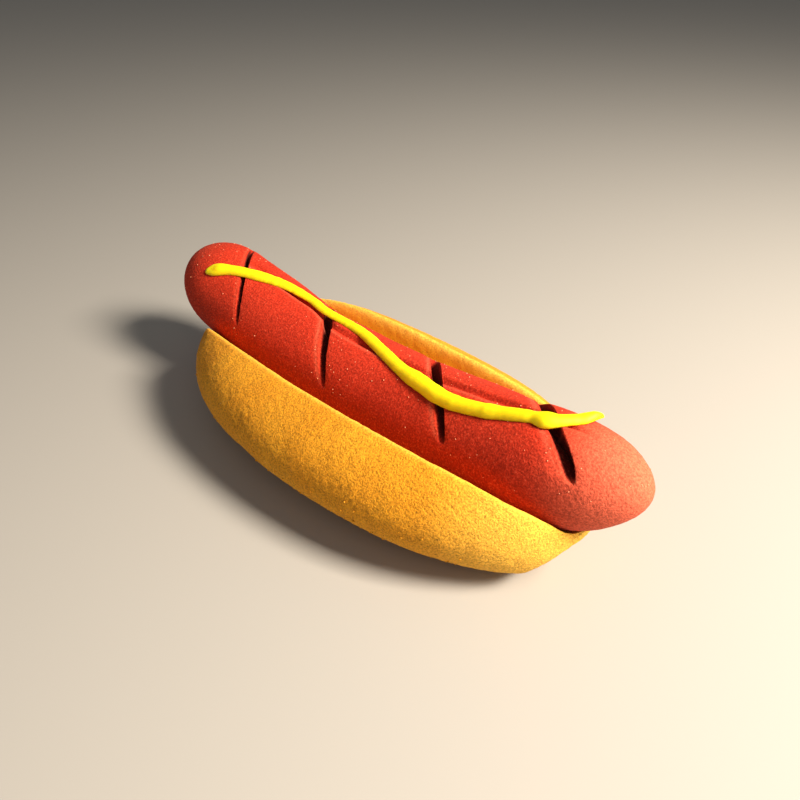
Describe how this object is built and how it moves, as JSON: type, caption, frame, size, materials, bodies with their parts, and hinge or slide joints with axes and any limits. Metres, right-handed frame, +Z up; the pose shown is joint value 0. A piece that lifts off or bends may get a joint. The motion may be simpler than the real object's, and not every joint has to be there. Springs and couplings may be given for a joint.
{
  "type": "foam toy hot dog",
  "caption": "Toy hot dog of soft foam: an open oval bun holding a bent sausage with slanting slits and a wavy line of mustard.",
  "frame": {"origin": "middle of the bounding box in plan, on the surface that the bun stands on", "axes": "+X along the sausage towards its bullet-shaped end, +Y across the bun away from the viewer, +Z up"},
  "size_m": [0.1631, 0.0674, 0.0404],
  "materials": {
    "bun_foam": "golden ochre open-cell foam with coarse pores, matt",
    "sausage_foam": "brick red open-cell foam with a fine grain, matt",
    "mustard": "bright yellow set paste, smooth satin"
  },
  "bodies": {
    "root": {"bun": "bun_foam", "sausage": "sausage_foam", "mustard": "mustard"}
  },
  "joints": []
}
